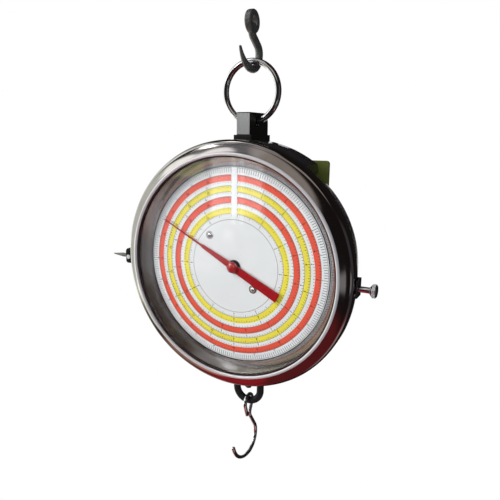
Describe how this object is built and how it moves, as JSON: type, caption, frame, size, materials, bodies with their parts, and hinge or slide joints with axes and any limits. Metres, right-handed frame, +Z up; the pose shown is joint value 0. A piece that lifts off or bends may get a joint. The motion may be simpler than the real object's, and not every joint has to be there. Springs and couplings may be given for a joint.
{
  "type": "hanging spring scale",
  "caption": "Round-dial hanging spring scale with an eye hook, ring, removable bezel, rack-and-pinion movement, load loop and wire load hook.",
  "frame": {"origin": "centre of the bore of the hanging eye, at the top of the suspension hook", "axes": "+X to the right of the dial along the bore of the hanging eye, +Y from the dial to the back plate, +Z up"},
  "size_m": [0.2963, 0.0817, 0.4789],
  "materials": {
    "hook_steel": "darkened forged steel, satin",
    "chrome_wire": "bright chrome plate",
    "lug_steel": "ground steel, satin",
    "black_enamel": "gloss black enamel on steel",
    "green_enamel": "gloss olive green enamel on steel",
    "zinc_steel": "zinc plated steel",
    "chassis_steel": "plain cold-rolled steel",
    "brass": "machined brass",
    "nylon": "natural nylon",
    "rubber": "black rubber",
    "dial_print": "white enamel on aluminium, with printed bands",
    "black_plastic": "black moulded plastic",
    "pointer_red": "dark red paint",
    "spring_steel": "oiled spring steel",
    "black_iron": "satin black paint on forged steel",
    "bezel_metal": "dark chromed spun steel",
    "reflector_metal": "polished aluminium",
    "glass": "clear flat glass"
  },
  "bodies": {
    "hanger": {"suspension_hook": "hook_steel"},
    "ring": {"suspension_ring": "chrome_wire"},
    "case": {"hanger_lug": "lug_steel", "saddle": "black_enamel", "saddle_rivets": "black_enamel", "hanger_bolts": "zinc_steel", "hanger_spacers": "zinc_steel", "case_pan": "black_enamel", "back_plate": "green_enamel", "back_plate_screws": "zinc_steel", "chassis_pillars": "zinc_steel", "chassis_plate": "chassis_steel", "spring_anchor": "zinc_steel", "anchor_screws": "zinc_steel", "rest_stops": "rubber", "rack_guide": "nylon", "rod_guide": "brass", "bridge_pillars": "zinc_steel", "bearing_bridge": "chassis_steel", "front_bush": "brass", "rear_bush": "brass", "dial_posts": "zinc_steel", "dial_plate": "dial_print", "dial_screws": "chrome_wire", "dial_bushing": "black_plastic", "clamp_lug": "black_enamel", "pin_lug": "black_enamel", "locating_pin": "chrome_wire", "pin_set_screw": "zinc_steel", "left_spring": "spring_steel", "right_spring": "spring_steel"},
    "pointer": {"pointer_shaft": "zinc_steel", "pinion": "brass", "pointer": "pointer_red", "pointer_cap": "pointer_red"},
    "draw_bar": {"crosshead": "zinc_steel", "rack": "brass", "rack_screws": "zinc_steel", "draw_rod": "zinc_steel", "rod_nut": "zinc_steel", "load_loop": "black_iron", "loop_nut": "black_iron"},
    "load_hook": {"load_hook": "chrome_wire"},
    "bezel": {"bezel_ring": "bezel_metal", "lens_gasket": "rubber", "lens": "glass", "reflector_ring": "reflector_metal"},
    "thumb_screw": {"thumb_screw": "chrome_wire"}
  },
  "joints": [
    {"name": "ring_swing", "type": "hinge", "parent": "hanger", "child": "ring", "pos_m": [0, 0, -0.0433], "axis": [0, 1, 0], "range_deg": [-25, 25]},
    {"name": "case_swing", "type": "hinge", "parent": "ring", "child": "case", "pos_m": [0, 0, -0.0934], "axis": [1, 0, 0], "range_deg": [-25, 25]},
    {"name": "draw_slide", "type": "slide", "parent": "case", "child": "draw_bar", "axis": [0, 0, -1], "range_m": [0, 0.0376], "stiffness_N_per_m": 1500, "springref_m": -0.004, "deforming": ["left_spring", "right_spring"]},
    {"name": "pointer_spin", "type": "hinge", "parent": "case", "child": "pointer", "pos_m": [0, -0.035, -0.2345], "axis": [0, 1, 0], "range_deg": [0, 415]},
    {"name": "hook_swing", "type": "hinge", "parent": "draw_bar", "child": "load_hook", "pos_m": [0, 0, -0.3988], "axis": [1, 0, 0], "range_deg": [-60, 60]},
    {"name": "bezel_pull", "type": "slide", "parent": "case", "child": "bezel", "axis": [0, -1, 0], "range_m": [0, 0.03]},
    {"name": "screw_turn", "type": "hinge", "parent": "case", "child": "thumb_screw", "pos_m": [0.13, -0.037, -0.239], "axis": [1, 0, 0], "continuous": true}
  ],
  "couplings": [
    {"joint": "pointer_spin", "follows": "draw_slide", "rad_per_m": 192.31}
  ]
}
